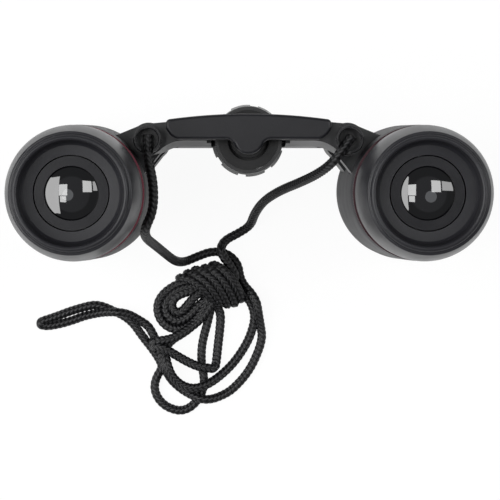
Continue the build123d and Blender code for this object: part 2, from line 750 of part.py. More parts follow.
def bridge_frame():
    """Bridge casting with a window for the wheel, a well for the yoke and two hinge ears a side."""
    cavity_low = FRAME_BOTTOM_EDGE + FRAME_WALL
    cavity_high = FRAME_TOP_EDGE - FRAME_WALL
    frame_height = FRAME_TOP_EDGE - FRAME_BOTTOM_EDGE
    frame_middle = (FRAME_TOP_EDGE + FRAME_BOTTOM_EDGE) / 2
    foot_angle, top_angle = EAR_SWEEP_ANGLES
    with BuildPart() as frame:
        with BuildSketch(bridge_plane(BRIDGE_BASE)):
            with Locations((0, frame_middle)):
                Rectangle(2 * FRAME_HALF, frame_height)
        extrude(amount=DECK_TOP - BRIDGE_BASE)
        # Front wall, leaning back under the cover
        bevel_edge = frame.edges().filter_by(Axis.X).group_by(Axis.Z)[-1].sort_by(Axis.Y)[0]
        chamfer(bevel_edge, UPPER_EAR, FRAME_BEVEL, reference=frame.faces().sort_by(Axis.Y)[0])
        # Ears out to the hinge axes
        for side in SIDES.values():
            extrude(lower_ear(side), amount=LOWER_EAR)
            foot = upper_ear(
                side, UPPER_EAR_BASE, FRAME_BOTTOM_EDGE, UPPER_EAR_R + EAR_SKIRT, foot_angle
            )
            top = upper_ear(side, DECK_TOP, FRAME_BOTTOM_EDGE + FRAME_BEVEL, UPPER_EAR_R, top_angle)
            loft([foot.face(), top.face()], ruled=True)
        # Round boss under the wheel, around the spindle
        extrude(ring(bridge_plane(BRIDGE_BASE), FRAME_BOSS_R), amount=WINDOW_BASE - BRIDGE_BASE)
        # Wheel window, the cut in the deck in front of it and the boss of the spindle's upper bearing
        extrude(
            ring(bridge_plane(WINDOW_BASE), WINDOW_R),
            amount=WINDOW_TOP - WINDOW_BASE,
            mode=Mode.SUBTRACT,
        )
        with BuildSketch(bridge_plane(DECK_TOP - DECK_CUT_HEIGHT)):
            with Locations((0, FRAME_BOTTOM_EDGE)):
                Rectangle(2 * DECK_CUT_HALF, 2 * DECK_CUT_DEPTH)
        extrude(amount=DECK_CUT_HEIGHT, mode=Mode.SUBTRACT)
        extrude(ring(bridge_plane(WINDOW_TOP), BEARING_R), amount=DECK_THICK)
        # Yoke well, open at the foot and through both end walls
        with BuildSketch(bridge_plane(BRIDGE_BASE)):
            with Locations((0, (cavity_low + cavity_high) / 2)):
                Rectangle(2 * FRAME_HALF, cavity_high - cavity_low)
            Circle(FRAME_BOSS_R - FRAME_WALL)
        extrude(amount=YOKE_ROOF - BRIDGE_BASE, mode=Mode.SUBTRACT)
        # Hinge bores, spindle bore and screw holes
        for side in SIDES.values():
            extrude(
                ring(hinge_plane(side, BRIDGE_BASE), TUBE_R + SEAT),
                amount=LOWER_EAR,
                mode=Mode.SUBTRACT,
            )
            extrude(
                ring(hinge_plane(side, UPPER_EAR_BASE), PIN_R + SEAT),
                amount=UPPER_EAR,
                mode=Mode.SUBTRACT,
            )
            screw_plane = Plane((side * SCREW_X, HINGE_Y + SCREW_RISE, YOKE_ROOF))
            extrude(
                ring(screw_plane, SCREW_R + SEAT),
                amount=DECK_TOP - YOKE_ROOF,
                mode=Mode.SUBTRACT,
            )
            extrude(
                ring(screw_plane, SCREW_HEAD_R + SEAT),
                amount=SCREW_HEAD + SEAT,
                mode=Mode.SUBTRACT,
            )
        extrude(
            ring(bridge_plane(YOKE_ROOF), SPINDLE_R + RUNNING),
            amount=WINDOW_BASE - YOKE_ROOF,
            mode=Mode.SUBTRACT,
        )
        extrude(
            ring(bridge_plane(WINDOW_TOP), JOURNAL_R + RUNNING),
            amount=DECK_TOP - WINDOW_TOP,
            mode=Mode.SUBTRACT,
        )
    return frame.part


def bridge_cover():
    """Boat-shaped cover over the eyepiece side of the bridge, bulged around the focus axis."""
    with BuildPart() as cover:
        with BuildSketch(bridge_plane(DECK_TOP)) as outline:
            with BuildLine():
                Line((-COVER_FOOT_HALF, 0), (COVER_FOOT_HALF, 0))
                SagittaArc((COVER_FOOT_HALF, 0), (COVER_HALF, COVER_SHOULDER), -COVER_CHEEK)
                Line((COVER_HALF, COVER_SHOULDER), (COVER_HALF, COVER_END_EDGE))
                ThreePointArc(
                    (COVER_HALF, COVER_END_EDGE), (0, COVER_TOP_EDGE), (-COVER_HALF, COVER_END_EDGE)
                )
                Line((-COVER_HALF, COVER_END_EDGE), (-COVER_HALF, COVER_SHOULDER))
                SagittaArc((-COVER_HALF, COVER_SHOULDER), (-COVER_FOOT_HALF, 0), -COVER_CHEEK)
            make_face()
            corners = outline.vertices().group_by(Axis.Y)[-1]
            fillet(corners, COVER_CORNER)
            shoulders = outline.vertices().filter_by(
                lambda v: abs(v.Y - COVER_SHOULDER) < SEAT or abs(abs(v.X) - COVER_FOOT_HALF) < SEAT
            )
            fillet(shoulders, COVER_SHOULDER_ROUND)
            Circle(COVER_BULGE_R)
            root = outline.vertices().filter_by(
                lambda v: abs(abs(v.X) - COVER_BULGE_R) < SEAT and abs(v.Y) < SEAT
            )
            fillet(root, COVER_BULGE_FILLET)
        extrude(amount=COVER_THICK)
        fillet(cover.edges().group_by(Axis.Z)[-1], COVER_ROUND)
        for side in SIDES.values():
            extrude(
                ring(Plane((side * SCREW_X, HINGE_Y + SCREW_RISE, DECK_TOP)), SCREW_R + SEAT),
                amount=SCREW_BITE + SEAT,
                mode=Mode.SUBTRACT,
            )
    return cover.part


def bridge_plug():
    """Plate in the foot of the yoke well, with the spindle's lower bearing."""
    cavity_low = FRAME_BOTTOM_EDGE + FRAME_WALL
    cavity_high = FRAME_TOP_EDGE - FRAME_WALL
    with BuildPart() as plug:
        with BuildSketch(bridge_plane(BRIDGE_BASE)):
            with Locations((0, (cavity_low + cavity_high) / 2)):
                Rectangle(2 * (FRAME_HALF - SEAT), cavity_high - cavity_low - 2 * SEAT)
            Circle(FRAME_BOSS_R - FRAME_WALL - SEAT)
            Circle(JOURNAL_R + RUNNING, mode=Mode.SUBTRACT)
        extrude(amount=PLUG_THICK)
    return plug.part


def cover_screws():
    """The two screws that hold the cover, driven from the yoke well."""
    with BuildPart() as screws:
        for side in SIDES.values():
            plane = Plane((side * SCREW_X, HINGE_Y + SCREW_RISE, YOKE_ROOF))
            extrude(ring(plane, SCREW_HEAD_R), amount=SCREW_HEAD)
            extrude(ring(plane, SCREW_R), amount=DECK_TOP + SCREW_BITE - YOKE_ROOF)
    return screws.part


def focus_wheel():
    """Core of the focus wheel, with a ring-shaped recess in its upper face."""
    with BuildPart() as wheel:
        extrude(
            ring(bridge_plane(WHEEL_BASE), WHEEL_CORE_R, SPINDLE_R + SEAT), amount=WHEEL_HEIGHT
        )
        extrude(
            ring(bridge_plane(WHEEL_TOP), WHEEL_RECESS_R, WHEEL_RECESS_CORE_R),
            amount=-WHEEL_RECESS_DEPTH,
            mode=Mode.SUBTRACT,
        )
    return wheel.part


def wheel_grip():
    """Rubber tyre of the focus wheel, a little smaller at its top, with raised pads round it."""
    plane = Plane((0, HINGE_Y, 0), x_dir=(1, 0, 0), z_dir=(0, -1, 0))
    base = WHEEL_BASE + GRIP_EDGE
    top = WHEEL_TOP - GRIP_EDGE
    inner_r = WHEEL_CORE_R + SEAT
    pitch = 360 / GRIP_PADS
    gap = pitch - GRIP_PAD_ANGLE
    with BuildPart() as grip:
        with BuildSketch(plane):
            with BuildLine():
                Polyline(
                    (inner_r, base),
                    (WHEEL_R, base),
                    (WHEEL_R - GRIP_TAPER, top),
                    (inner_r, top),
                    close=True,
                )
            make_face()
        revolve(axis=Axis((0, HINGE_Y, 0), (0, 0, 1)))
        # Gaps between the pads
        with BuildSketch(bridge_plane(base)):
            for step in range(GRIP_PADS):
                gap_start = GRIP_PHASE + GRIP_PAD_ANGLE / 2 + step * pitch
                with BuildLine():
                    outer = CenterArc((0, 0), WHEEL_R + GRIP_PAD_RISE, gap_start, gap)
                    inner = CenterArc((0, 0), GRIP_GAP_R, gap_start, gap)
                    Line(outer @ 0, inner @ 0)
                    Line(outer @ 1, inner @ 1)
                make_face()
        extrude(amount=top - base, mode=Mode.SUBTRACT)
    return grip.part


def focus_spindle():
    """Spindle through the wheel, threaded below it, with a journal at each end."""
    lower_end = BRIDGE_BASE - MOVING_GAP - 2 * CLIP_THICK
    thread_base = BRIDGE_BASE + PLUG_THICK + MOVING_GAP
    with BuildPart() as spindle:
        extrude(ring(bridge_plane(lower_end), JOURNAL_R), amount=DECK_TOP - lower_end)
        extrude(ring(bridge_plane(thread_base), SPINDLE_R), amount=WHEEL_TOP - thread_base)
    return spindle.part


def spindle_clip():
    """Retaining ring on the spindle's lower end."""
    with BuildPart() as clip:
        extrude(
            ring(
                bridge_plane(BRIDGE_BASE - MOVING_GAP - CLIP_THICK), CLIP_R, JOURNAL_R + SEAT
            ),
            amount=CLIP_THICK,
        )
    return clip.part


def focus_yoke():
    """Crossbar that the spindle drives up and down, with an eye for each drive rod."""
    bar_low = FRAME_BOTTOM_EDGE + FRAME_WALL + MOVING_GAP
    bar_high = FRAME_TOP_EDGE - FRAME_WALL - MOVING_GAP
    shoulder = FRAME_HALF + 2 * FRAME_WALL
    with BuildPart() as yoke:
        with BuildSketch(bridge_plane(YOKE_Z)):
            with Locations((0, (bar_low + bar_high) / 2)):
                Rectangle(2 * shoulder, bar_high - bar_low)
            Circle(YOKE_NUT_R)
            for side in SIDES.values():
                with BuildLine():
                    Polyline(
                        (side * (shoulder - FRAME_WALL), bar_low),
                        (side * shoulder, bar_high),
                        (side * HINGE_X, YOKE_EYE_R),
                        (side * HINGE_X, -YOKE_EYE_R),
                        close=True,
                    )
                make_face()
                with Locations((side * HINGE_X, 0)):
                    Circle(YOKE_EYE_R)
            Circle(SPINDLE_R + RUNNING, mode=Mode.SUBTRACT)
            for side in SIDES.values():
                with Locations((side * HINGE_X, 0)):
                    Circle(ROD_R + SEAT, mode=Mode.SUBTRACT)
        extrude(amount=YOKE_THICK)
    return yoke.part


def cord_tube(points, radius, name):
    """Round tube along straight runs joined by the largest tangent arcs that fit them."""
    spots = [Vector(*point) for point in points]
    radii = []
    for before, corner, after in zip(spots, spots[1:], spots[2:]):
        turn = math.radians((corner - before).get_angle(after - corner))
        shorter = min((corner - before).length, (after - corner).length)
        radii.append(CORD_BEND_SHARE * shorter / math.tan(turn / 2))
    with BuildPart() as tube:
        with BuildLine() as route:
            FilletPolyline(*points, radius=radii)
        with BuildSketch(Plane(points[0], z_dir=spots[1] - spots[0])):
            Circle(radius)
        sweep(path=route.wires()[0])
    length = route.wires()[0].length
    ratio = tube.part.volume / (math.pi * radius**2 * length)
    print(f"{name}: length {length:.1f} mm, volume over section times length {ratio:.4f}")
    print(f"{name}: radii", " ".join(f"{value:.1f}" for value in radii))
    return tube.part


def cord_hank():
    """Outer shape of the knotted turns and the loose loops that lie beside them."""
    inner = [value - HANK_LOOP_BAND for value in HANK_LOOP_RADII]
    with BuildPart() as hank:
        with BuildSketch():
            with Locations(HANK_LOOP):
                Ellipse(*HANK_LOOP_RADII)
                Ellipse(*inner, mode=Mode.SUBTRACT)
        extrude(amount=HANK_LOOP_HEIGHT)
        fillet(hank.edges().group_by(Axis.Z)[-1], HANK_ROUND / 2)
        with BuildSketch():
            with Locations(HANK_LUMP):
                Ellipse(*HANK_LUMP_RADII)
        extrude(amount=HANK_LUMP_HEIGHT)
        fillet(hank.edges().group_by(Axis.Z)[-1], HANK_ROUND)
    return hank.part


SIDE_PIECES = {
    "barrel_shell": barrel_shell,
    "barrel_armour": barrel_armour,
    "objective_bezel": objective_bezel,
    "objective_cell": objective_cell,
    "objective_lens": objective_lens,
    "objective_retainer": objective_retainer,
    "prism_cage": prism_cage,
    "roof_prism": roof_prism,
    "eyepiece_collar": eyepiece_collar,
    "accent_ring": accent_ring,
    "eyecup": eyecup,
    "ocular_cell": ocular_cell,
    "eye_lens": eye_lens,
    "field_lens": field_lens,
    "drive_cap": drive_cap,
    "hinge_pin": hinge_pin,
    "hinge_tube": hinge_tube,
    "drive_rod": drive_rod,
}

BRIDGE_PIECES = {
    "bridge_frame": bridge_frame,
    "bridge_cover": bridge_cover,
    "bridge_plug": bridge_plug,
    "cover_screws": cover_screws,
    "focus_wheel": focus_wheel,
    "wheel_grip": wheel_grip,
    "focus_spindle": focus_spindle,
    "spindle_clip": spindle_clip,
    "focus_yoke": focus_yoke,
    "cord_hank": cord_hank,
}

CORD_TUBES = {
    "cord_left_run": (LEFT_RUN, CORD_R),
    "cord_right_run": (RIGHT_RUN, CORD_R),
    "cord_tail": (TAIL_RUN, TAIL_R),
}


def save(piece, name):
    """Label a finished piece and write it to its own file."""
    piece.label = name
    export_step(piece, f"parts/{name}.step")


os.makedirs("parts", exist_ok=True)
for side_name, side_sign in SIDES.items():
    for piece_name, make_piece in SIDE_PIECES.items():
        save(make_piece(side_sign), f"{side_name}_{piece_name}")
for piece_name, make_piece in BRIDGE_PIECES.items():
    save(make_piece(), piece_name)
for piece_name, (cord_points, cord_radius) in CORD_TUBES.items():
    save(cord_tube(cord_points, cord_radius, piece_name), piece_name)
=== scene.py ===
"""Dresses the compact folding binoculars: rubber, moulded plastic, glass and a braided neck cord.

The CAD model is the fixed frame. Its rigid pieces keep their shape and get their finish here, and the
plain solids of the cord are replaced by one braided cord that runs from lug to lug.
"""

import logging
import math
from dataclasses import dataclass, field
from enum import Enum

import bpy
import numpy as np
from mathutils import Matrix, Vector


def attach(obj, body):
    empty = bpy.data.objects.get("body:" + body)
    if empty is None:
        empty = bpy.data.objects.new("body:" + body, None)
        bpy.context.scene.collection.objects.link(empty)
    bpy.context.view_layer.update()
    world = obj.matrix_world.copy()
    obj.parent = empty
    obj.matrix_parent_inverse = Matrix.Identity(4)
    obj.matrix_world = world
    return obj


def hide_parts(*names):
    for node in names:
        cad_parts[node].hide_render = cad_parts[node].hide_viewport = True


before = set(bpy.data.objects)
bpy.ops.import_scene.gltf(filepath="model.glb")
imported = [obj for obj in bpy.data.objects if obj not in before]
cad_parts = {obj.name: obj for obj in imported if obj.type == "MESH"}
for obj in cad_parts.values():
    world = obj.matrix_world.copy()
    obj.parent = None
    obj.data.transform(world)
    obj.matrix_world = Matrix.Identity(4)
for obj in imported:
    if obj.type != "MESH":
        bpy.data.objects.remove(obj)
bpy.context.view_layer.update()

LOG = logging.getLogger("binoculars")
MM = 0.001

# These nodes have several sockets of one name, so the sockets go by number.
MIX_SHARE, MIX_FIRST, MIX_SECOND = 0, 6, 7
MIX_COLOUR = 2
MATH_FIRST, MATH_SECOND = 0, 1
SHADER_SHARE, SHADER_FIRST, SHADER_SECOND = 0, 1, 2

Point = tuple[float, float, float]
Pair = tuple[float, float]


class Body(Enum):
    """Bodies of the frame that new pieces ride on."""

    BRIDGE = "bridge"


class Side(Enum):
    """The two halves of the binoculars, by the prefix of their nodes' names."""

    LEFT = "left"
    RIGHT = "right"


def linear(hex_colour: str) -> tuple[float, float, float, float]:
    """Turn an sRGB hex colour into linear light.

    Args:
        hex_colour: Six hex digits with a leading hash.

    Returns:
        Linear red, green, blue and an alpha of 1.
    """
    channels = [int(hex_colour[i : i + 2], 16) / 255 for i in (1, 3, 5)]
    light = [c / 12.92 if c <= 0.04045 else ((c + 0.055) / 1.055) ** 2.4 for c in channels]
    return (light[0], light[1], light[2], 1.0)


def add_node(
    tree: bpy.types.NodeTree,
    kind: str,
    settings: dict[str, object] | None = None,
    inputs: dict[str | int, object] | None = None,
) -> bpy.types.Node:
    """Add one node with its settings and what its sockets hold.

    Args:
        tree: The node tree that gets the node.
        kind: Blender's name of the node type.
        settings: Properties of the node itself.
        inputs: Socket name or index to a value, or to the output socket that feeds it.

    Returns:
        The new node.
    """
    node = tree.nodes.new(kind)
    for name, value in (settings or {}).items():
        setattr(node, name, value)
    for name, value in (inputs or {}).items():
        if isinstance(value, bpy.types.NodeSocket):
            tree.links.new(value, node.inputs[name])
        else:
            node.inputs[name].default_value = value
    return node


def per_metre(size_mm: float) -> float:
    """Texture scale whose features are about size_mm across."""
    return 1.0 / (size_mm * MM)


def new_material(name: str) -> tuple[bpy.types.Material, bpy.types.NodeTree]:
    """Start an empty node material.

    Args:
        name: Name of the finish.

    Returns:
        The material and its cleared node tree.
    """
    material = bpy.data.materials.new(name)
    material.use_nodes = True
    material.node_tree.nodes.clear()
    return material, material.node_tree


@dataclass(frozen=True)
class MouldedFinish:
    """Rubber or plastic out of a mould: two close tones, a fine grain and an uneven gloss.

    The tones drift over a few millimetres as the surface picks up dust and handling, and the grain
    breaks the highlights up without being seen as dots.
    """

    name: str
    deep: str
    pale: str
    roughness: Pair
    ior: float
    grain_mm: float
    grain_depth_mm: float
    drift_mm: float
    drift_span: Pair = (0.3, 0.7)
    grain_strength: float = 0.6

    def material(self) -> bpy.types.Material:
        """Build the finish.

        Returns:
            The finished material.
        """
        material, tree = new_material(self.name)
        place = add_node(tree, "ShaderNodeTexCoord").outputs["Object"]
        drift = add_node(
            tree,
            "ShaderNodeTexNoise",
            inputs={"Vector": place, "Scale": per_metre(self.drift_mm), "Detail": 4.0, "Roughness": 0.6},
        )
        grain = add_node(
            tree,
            "ShaderNodeTexNoise",
            inputs={"Vector": place, "Scale": per_metre(self.grain_mm), "Detail": 2.0},
        )
        tone = add_node(
            tree,
            "ShaderNodeMix",
            {"data_type": "RGBA"},
            {MIX_SHARE: drift.outputs["Fac"], MIX_FIRST: linear(self.deep), MIX_SECOND: linear(self.pale)},
        )
        gloss = add_node(
            tree,
            "ShaderNodeMapRange",
            inputs={
                "Value": drift.outputs["Fac"],
                "From Min": self.drift_span[0],
                "From Max": self.drift_span[1],
                "To Min": self.roughness[0],
                "To Max": self.roughness[1],
            },
        )
        bump = add_node(
            tree,
            "ShaderNodeBump",
            inputs={
                "Strength": self.grain_strength,
                "Distance": self.grain_depth_mm * MM,
                "Height": grain.outputs["Fac"],
            },
        )
        shader = add_node(
            tree,
            "ShaderNodeBsdfPrincipled",
            inputs={
                "Base Color": tone.outputs[MIX_COLOUR],
                "Roughness": gloss.outputs["Result"],
                "Normal": bump.outputs["Normal"],
                "IOR": self.ior,
            },
        )
        add_node(tree, "ShaderNodeOutputMaterial", inputs={"Surface": shader.outputs["BSDF"]})
        return material


@dataclass(frozen=True)
class TurnedMetal:
    """Metal off the lathe: a plain metal tone with fine rings round its axis.

    The wave turns by one radian in ring_mm, so the rings lie about six times that apart. Real tool marks
    are finer, and are drawn this coarse to show.
    """

    name: str
    deep: str
    pale: str
    roughness: float
    ring_mm: float
    groove_mm: float = 0.01
    groove_strength: float = 0.2
    wave_rate: float = 20.0  # radians that the wave node turns through in one unit of its own space

    def material(self) -> bpy.types.Material:
        """Build the finish.

        Returns:
            The finished material.
        """
        material, tree = new_material(self.name)
        place = add_node(tree, "ShaderNodeTexCoord").outputs["Object"]
        rings = add_node(
            tree,
            "ShaderNodeTexWave",
            {"wave_type": "BANDS", "bands_direction": "Z"},
            {
                "Vector": place,
                "Scale": per_metre(self.ring_mm) / self.wave_rate,
                "Distortion": 1.5,
                "Detail": 2.0,
            },
        )
        tone = add_node(
            tree,
            "ShaderNodeMix",
            {"data_type": "RGBA"},
            {MIX_SHARE: rings.outputs["Fac"], MIX_FIRST: linear(self.deep), MIX_SECOND: linear(self.pale)},
        )
        bump = add_node(
            tree,
            "ShaderNodeBump",
            inputs={
                "Strength": self.groove_strength,
                "Distance": self.groove_mm * MM,
                "Height": rings.outputs["Fac"],
            },
        )
        shader = add_node(
            tree,
            "ShaderNodeBsdfPrincipled",
            inputs={
                "Base Color": tone.outputs[MIX_COLOUR],
                "Metallic": 1.0,
                "Roughness": self.roughness,
                "Normal": bump.outputs["Normal"],
            },
        )
        add_node(tree, "ShaderNodeOutputMaterial", inputs={"Surface": shader.outputs["BSDF"]})
        return material


@dataclass(frozen=True)
class PolishedGlass:
    """Ground and polished optical glass: clear, with a trace of dust that dulls the gloss in spots."""

    name: str
    tint: str
    dusty: str
    ior: float
    dust_mm: float
    dust_span: Pair = (0.55, 0.8)
    roughness: Pair = (0.0, 0.08)

    def material(self) -> bpy.types.Material:
        """Build the finish.

        Returns:
            The finished material.
        """
        material, tree = new_material(self.name)
        place = add_node(tree, "ShaderNodeTexCoord").outputs["Object"]
        dust = add_node(
            tree,
            "ShaderNodeTexNoise",
            inputs={"Vector": place, "Scale": per_metre(self.dust_mm), "Detail": 3.0},
        )
        tone = add_node(
            tree,
            "ShaderNodeMix",
            {"data_type": "RGBA"},
            {MIX_SHARE: dust.outputs["Fac"], MIX_FIRST: linear(self.tint), MIX_SECOND: linear(self.dusty)},
        )
        gloss = add_node(
            tree,
            "ShaderNodeMapRange",
            inputs={
                "Value": dust.outputs["Fac"],
                "From Min": self.dust_span[0],
                "From Max": self.dust_span[1],
                "To Min": self.roughness[0],
                "To Max": self.roughness[1],
            },
        )
        shader = add_node(
            tree,
            "ShaderNodeBsdfPrincipled",
            inputs={
                "Base Color": tone.outputs[MIX_COLOUR],
                "Roughness": gloss.outputs["Result"],
                "IOR": self.ior,
                "Transmission Weight": 1.0,
            },
        )
        add_node(tree, "ShaderNodeOutputMaterial", inputs={"Surface": shader.outputs["BSDF"]})
        return material


@dataclass(frozen=True)
class CoatedLens:
    """Coated eye lens over a blackened tube: a dark mirror with the small pale exit pupil painted in it.

    The dense glass throws clear reflections of the lamps. The view into the barrel is painted light in the
    base colour:
    a grey disc stands for the lit objective seen small through the lenses, inside a paler disc for the lit
    image of the field stop, both painted on the dark of the tube. Places are in millimetres.
    """

    name: str
    pupil_at: Pair
    field_at: Pair
    pupil_mm: float = 1.5
    field_mm: float = 4.6
    # Colours of the painted view: painted light of the pupil and of the field stop, on the dark of the
    # tube.
    pupil: str = "#4c4d4f"
    painted_field_light: str = "#19191b"
    tube: str = "#08080a"
    ior: float = 1.76
    dust_mm: float = 1.0
    dust_span: Pair = (0.5, 0.8)
    roughness: Pair = (0.02, 0.07)
    rim: Pair = (0.92, 1.04)  # start and end of a disc's soft rim, as shares of its radius

    def disc(
        self, tree: bpy.types.NodeTree, place: bpy.types.NodeSocket, at: Pair, radius: float
    ) -> bpy.types.NodeSocket:
        """Share of the surface outside a soft-edged disc.

        Args:
            tree: The material's node tree.
            place: Object coordinates.
            at: Middle of the disc in millimetres.
            radius: Radius of the disc in millimetres.

        Returns:
            A socket that is 0 in the disc and 1 outside it.
        """
        middle = (at[0] * MM, at[1] * MM, 0.0)
        level = (1.0, 1.0, 0.0)
        away = add_node(
            tree,
            "ShaderNodeVectorMath",
            {"operation": "SUBTRACT"},
            {MATH_FIRST: place, MATH_SECOND: middle},
        )
        flat = add_node(
            tree,
            "ShaderNodeVectorMath",
            {"operation": "MULTIPLY"},
            {MATH_FIRST: away.outputs["Vector"], MATH_SECOND: level},
        )
        reach = add_node(
            tree, "ShaderNodeVectorMath", {"operation": "LENGTH"}, {MATH_FIRST: flat.outputs["Vector"]}
        )
        edge = add_node(
            tree,
            "ShaderNodeMapRange",
            {"interpolation_type": "SMOOTHSTEP"},
            {
                "Value": reach.outputs["Value"],
                "From Min": self.rim[0] * radius * MM,
                "From Max": self.rim[1] * radius * MM,
            },
        )
        return edge.outputs["Result"]

    def material(self) -> bpy.types.Material:
        """Build the finish.

        Returns:
            The finished material.
        """
        material, tree = new_material(self.name)
        place = add_node(tree, "ShaderNodeTexCoord").outputs["Object"]
        dust = add_node(
            tree,
            "ShaderNodeTexNoise",
            inputs={"Vector": place, "Scale": per_metre(self.dust_mm), "Detail": 3.0},
        )
        # Painted light: a paler disc for the lit field stop over the dark tube, then the grey disc of the
        # lit pupil on top.
        inside = add_node(
            tree,
            "ShaderNodeMix",
            {"data_type": "RGBA"},
            {
                MIX_SHARE: self.disc(tree, place, self.field_at, self.field_mm),
                MIX_FIRST: linear(self.painted_field_light),
                MIX_SECOND: linear(self.tube),
            },
        )
        tone = add_node(
            tree,
            "ShaderNodeMix",
            {"data_type": "RGBA"},
            {
                MIX_SHARE: self.disc(tree, place, self.pupil_at, self.pupil_mm),
                MIX_FIRST: linear(self.pupil),
                MIX_SECOND: inside.outputs[MIX_COLOUR],
            },
        )
        gloss = add_node(
            tree,
            "ShaderNodeMapRange",
            inputs={
                "Value": dust.outputs["Fac"],
                "From Min": self.dust_span[0],
                "From Max": self.dust_span[1],
                "To Min": self.roughness[0],
                "To Max": self.roughness[1],
            },
        )
        shader = add_node(
            tree,
            "ShaderNodeBsdfPrincipled",
            inputs={
                "Base Color": tone.outputs[MIX_COLOUR],
                "Roughness": gloss.outputs["Result"],
                "IOR": self.ior,
            },
        )
        add_node(tree, "ShaderNodeOutputMaterial", inputs={"Surface": shader.outputs["BSDF"]})
        return material


@dataclass(frozen=True)
class BraidedNylon:
    """Plaited nylon cord: black yarn with a soft sheen, and painted shade that darkens the gaps between
    the stitches.
    """

    name: str = "braided_nylon_cord"
    yarn: str = "#161618"
    worn: str = "#363638"
    # Near black of painted shade, drawn in the gaps where the plait sinks.
    painted_gap_shade: str = "#010102"
    roughness: float = 0.45
    ior: float = 1.36
    crown_span: Pair = (0.45, 0.85)  # heights of the plait between which the painted gap shade gives way to yarn
    fibre_mm: float = 0.35  # real filaments are far finer, and are drawn this coarse to show
    fibre_depth_mm: float = 0.05
    fibre_strength: float = 0.6

    def material(self) -> bpy.types.Material:
        """Build the finish.

        Returns:
            The finished material.
        """
        material, tree = new_material(self.name)
        place = add_node(tree, "ShaderNodeTexCoord").outputs["Object"]
        relief = add_node(tree, "ShaderNodeAttribute", {"attribute_name": "relief"}).outputs["Fac"]
        fibre = add_node(
            tree,
            "ShaderNodeTexNoise",
            inputs={"Vector": place, "Scale": per_metre(self.fibre_mm), "Detail": 3.0},
        )
        yarn = add_node(
            tree,
            "ShaderNodeMix",
            {"data_type": "RGBA"},
            {MIX_SHARE: fibre.outputs["Fac"], MIX_FIRST: linear(self.yarn), MIX_SECOND: linear(self.worn)},
        )
        crown = add_node(
            tree,
            "ShaderNodeMapRange",
            {"interpolation_type": "SMOOTHSTEP"},
            {"Value": relief, "From Min": self.crown_span[0], "From Max": self.crown_span[1]},
        )
        # Painted shade: where the plait is low, the yarn's tone gives way to near black.
        tone = add_node(
            tree,
            "ShaderNodeMix",
            {"data_type": "RGBA"},
            {
                MIX_SHARE: crown.outputs["Result"],
                MIX_FIRST: linear(self.painted_gap_shade),
                MIX_SECOND: yarn.outputs[MIX_COLOUR],
            },
        )
        bump = add_node(
            tree,
            "ShaderNodeBump",
            inputs={
                "Strength": self.fibre_strength,
                "Distance": self.fibre_depth_mm * MM,
                "Height": fibre.outputs["Fac"],
            },
        )
        shader = add_node(
            tree,
            "ShaderNodeBsdfPrincipled",
            inputs={
                "Base Color": tone.outputs[MIX_COLOUR],
                "Roughness": self.roughness,
                "Normal": bump.outputs["Normal"],
                "IOR": self.ior,
            },
        )
        add_node(tree, "ShaderNodeOutputMaterial", inputs={"Surface": shader.outputs["BSDF"]})
        return material


@dataclass(frozen=True)
class StudioPaper:
    """Seamless white studio paper: white to the camera and in reflections, and it keeps a soft shadow."""

    name: str = "seamless_white_paper"
    paper: str = "#f7f7f7"
    bright: str = "#ffffff"
    glow: float = 0.94  # share of plain white in what the camera sees, the rest is lit paper
    mirrored_glow: float = 0.35  # the same share in reflections, which keep more of the shadow
    fibre_mm: float = 2.0

    def material(self) -> bpy.types.Material:
        """Build the finish.

        Returns:
            The finished material.
        """
        material, tree = new_material(self.name)
        place = add_node(tree, "ShaderNodeTexCoord").outputs["Object"]
        fibre = add_node(
            tree,
            "ShaderNodeTexNoise",
            inputs={"Vector": place, "Scale": per_metre(self.fibre_mm), "Detail": 2.0},
        )
        tone = add_node(
            tree,
            "ShaderNodeMix",
            {"data_type": "RGBA"},
            {
                MIX_SHARE: fibre.outputs["Fac"],
                MIX_FIRST: linear(self.paper),
                MIX_SECOND: linear(self.bright),
            },
        )
        lit = add_node(tree, "ShaderNodeBsdfDiffuse", inputs={"Color": tone.outputs[MIX_COLOUR]})
        white = add_node(tree, "ShaderNodeEmission", inputs={"Strength": 1.0})
        ray = add_node(tree, "ShaderNodeLightPath").outputs
        seen = add_node(
            tree,
            "ShaderNodeMath",
            {"operation": "MULTIPLY"},
            {MATH_FIRST: ray["Is Camera Ray"], MATH_SECOND: self.glow},
        )
        glossy = add_node(
            tree,
            "ShaderNodeMath",
            {"operation": "MAXIMUM"},
            {MATH_FIRST: ray["Is Glossy Ray"], MATH_SECOND: ray["Is Transmission Ray"]},
        )
        mirrored = add_node(
            tree,
            "ShaderNodeMath",
            {"operation": "MULTIPLY"},
            {MATH_FIRST: glossy.outputs["Value"], MATH_SECOND: self.mirrored_glow},
        )
        share = add_node(
            tree,
            "ShaderNodeMath",
            {"operation": "MAXIMUM"},
            {MATH_FIRST: seen.outputs["Value"], MATH_SECOND: mirrored.outputs["Value"]},
        )
        mixed = add_node(
            tree,
            "ShaderNodeMixShader",
            inputs={
                SHADER_SHARE: share.outputs["Value"],
                SHADER_FIRST: lit.outputs["BSDF"],
                SHADER_SECOND: white.outputs["Emission"],
            },
        )
        add_node(tree, "ShaderNodeOutputMaterial", inputs={"Surface": mixed.outputs["Shader"]})
        return material


Finish = MouldedFinish | TurnedMetal | PolishedGlass | CoatedLens

# Finishes of the real pieces. Grain is drawn coarser than the real mould texture, which is too fine to
# show. An IOR under 1.5 stands for a skin so matt that it mirrors less than the bare material would.

# Silicone from a smooth mould: near black, with a broad satin gleam on the rolled lip.
EYECUP_RUBBER = MouldedFinish(
    "moulded_silicone_eyecup",
    deep="#1d1d21",
    pale="#252528",
    roughness=(0.32, 0.4),
    ior=1.34,
    grain_mm=0.55,
    grain_depth_mm=0.02,
    drift_mm=9.0,
)
